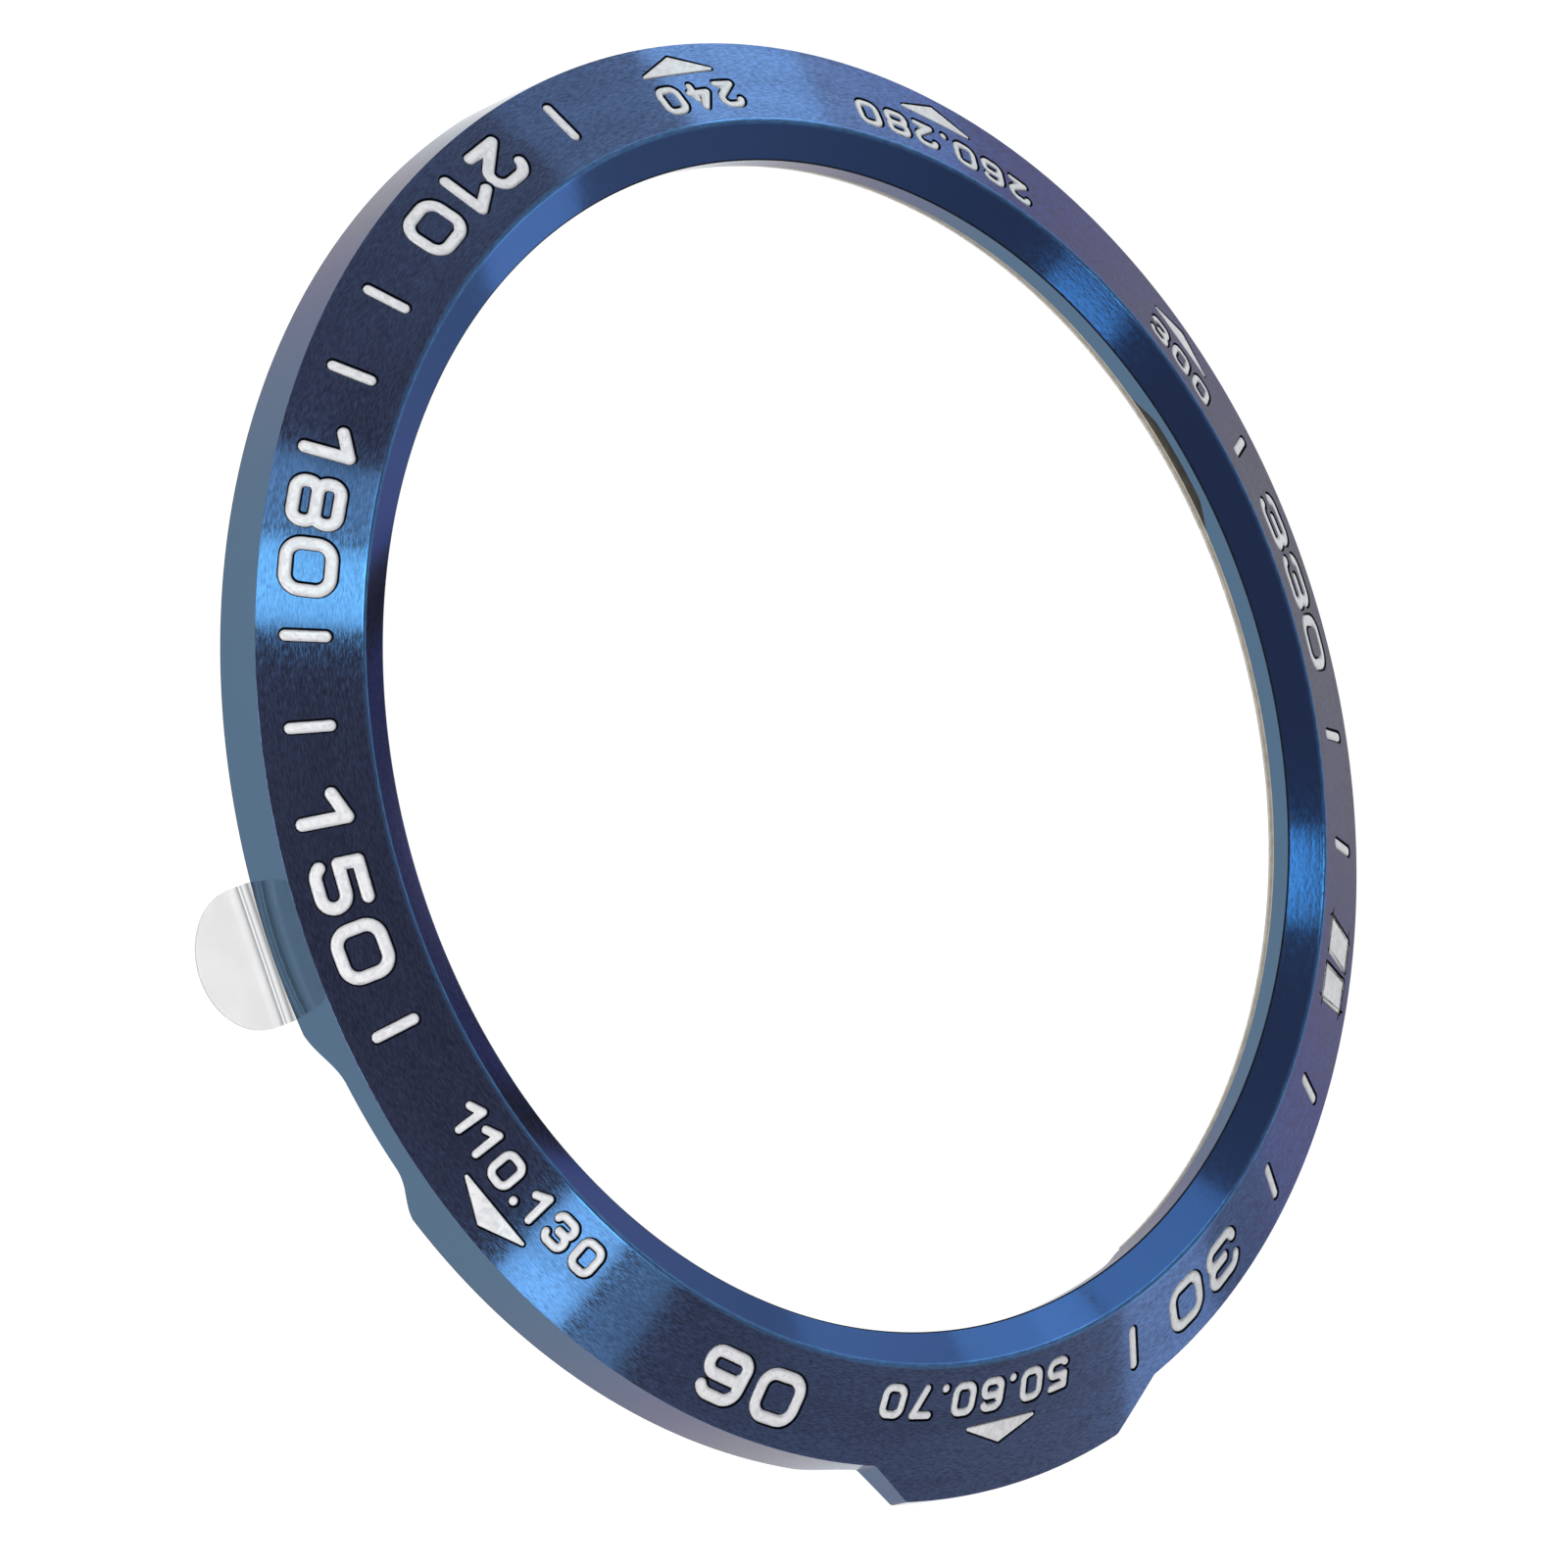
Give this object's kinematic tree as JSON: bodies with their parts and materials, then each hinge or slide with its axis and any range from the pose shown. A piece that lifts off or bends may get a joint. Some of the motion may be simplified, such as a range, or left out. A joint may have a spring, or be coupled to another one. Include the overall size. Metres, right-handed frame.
{
  "type": "smartwatch bezel ring",
  "caption": "Stick-on metal bezel ring with a sloped enamelled degree dial, a button guard, a stepped seat with tape, and a release liner with a pull tab.",
  "frame": {"origin": "centre of the ring, on the plane that the skirt's rim and the liner's film lie on", "axes": "+Z along the ring's axis, out of the dial face; +Y towards the double index mark"},
  "size_m": [0.051, 0.051, 0.0038],
  "materials": {
    "anodised_ring": "fine circular brushing, blue anodised",
    "white_enamel": "glossy fired fill",
    "adhesive": "tacky satin",
    "carrier_film": "matt film",
    "liner_film": "satin siliconed film"
  },
  "bodies": {
    "ring": {"bezel_ring": "anodised_ring", "index_enamel": "white_enamel", "tick_enamel": "white_enamel", "arrow_enamel": "white_enamel", "numeral_30": "white_enamel", "numeral_90": "white_enamel", "numeral_150": "white_enamel", "numeral_180": "white_enamel", "numeral_210": "white_enamel", "numeral_330": "white_enamel", "upper_adhesive": "adhesive", "tape_carrier": "carrier_film", "lower_adhesive": "adhesive"},
    "liner": {"release_liner": "liner_film"},
    "tab": {"pull_tab": "liner_film"}
  },
  "joints": [
    {"name": "liner_release", "type": "slide", "parent": "ring", "child": "liner", "axis": [0, 0, -1], "range_m": [0, 0.008]},
    {"name": "tab_crease", "type": "hinge", "parent": "liner", "child": "tab", "pos_m": [0.01504, -0.02104, 0.00003], "axis": [-0.8136, -0.5814, 0], "range_deg": [-90, 90]}
  ]
}
